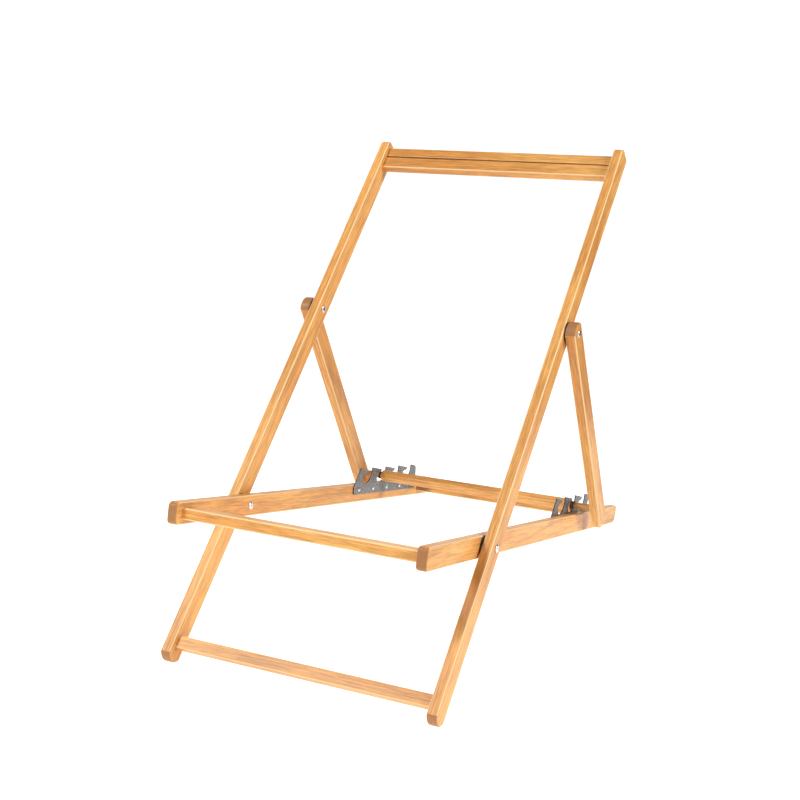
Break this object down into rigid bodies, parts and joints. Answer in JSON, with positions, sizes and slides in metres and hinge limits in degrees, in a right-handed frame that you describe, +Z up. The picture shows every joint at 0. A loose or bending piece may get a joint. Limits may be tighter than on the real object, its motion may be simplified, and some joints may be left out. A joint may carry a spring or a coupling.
{
  "type": "folding deck chair frame",
  "caption": "Wooden folding deck chair frame with a long reclining back, notched steel plates and a swinging prop frame. No sling is fitted.",
  "frame": {"origin": "on the floor under the middle of the chair's length and width", "axes": "+X across the chair, -Y towards the feet of the person sitting, +Y towards the back, +Z up"},
  "size_m": [0.6042, 1.0966, 0.8729],
  "materials": {
    "rail_wood": "oiled and lightly varnished",
    "bar_wood": "oiled and lightly varnished",
    "plate_steel": "grey hammered enamel",
    "zinc_steel": "bright zinc plate",
    "nylon": "moulded"
  },
  "bodies": {
    "seat_frame": {"seat_rail_left": "rail_wood", "notch_plate_left": "plate_steel", "plate_screw_left_1": "zinc_steel", "plate_screw_left_2": "zinc_steel", "plate_screw_left_3": "zinc_steel", "plate_screw_left_4": "zinc_steel", "plate_screw_left_5": "zinc_steel", "seat_pivot_bolt_left": "zinc_steel", "seat_pivot_nut_left": "zinc_steel", "seat_pivot_spacer_left": "nylon", "seat_rail_right": "rail_wood", "notch_plate_right": "plate_steel", "plate_screw_right_1": "zinc_steel", "plate_screw_right_2": "zinc_steel", "plate_screw_right_3": "zinc_steel", "plate_screw_right_4": "zinc_steel", "plate_screw_right_5": "zinc_steel", "seat_pivot_bolt_right": "zinc_steel", "seat_pivot_nut_right": "zinc_steel", "seat_pivot_spacer_right": "nylon", "seat_front_bar": "bar_wood", "seat_rear_bar": "bar_wood"},
    "back_frame": {"back_rail_left": "rail_wood", "prop_pivot_bolt_left": "zinc_steel", "prop_pivot_nut_left": "zinc_steel", "prop_pivot_spacer_left": "nylon", "back_rail_right": "rail_wood", "prop_pivot_bolt_right": "zinc_steel", "prop_pivot_nut_right": "zinc_steel", "prop_pivot_spacer_right": "nylon", "top_bar": "bar_wood", "foot_stretcher": "bar_wood"},
    "prop_frame": {"prop_left": "rail_wood", "prop_right": "rail_wood", "support_bar": "bar_wood", "support_bush_left": "nylon", "support_bush_right": "nylon"}
  },
  "joints": [
    {"name": "back_fold", "type": "hinge", "parent": "seat_frame", "child": "back_frame", "pos_m": [0, -0.29753, 0.23484], "axis": [1, 0, 0], "range_deg": [0, 116]},
    {"name": "prop_swing", "type": "hinge", "parent": "back_frame", "child": "prop_frame", "pos_m": [0, 0.04603, 0.5541], "axis": [1, 0, 0], "range_deg": [0, 106]}
  ],
  "couplings": [
    {"joint": "prop_swing", "follows": "back_fold", "ratio": 0.91025}
  ]
}
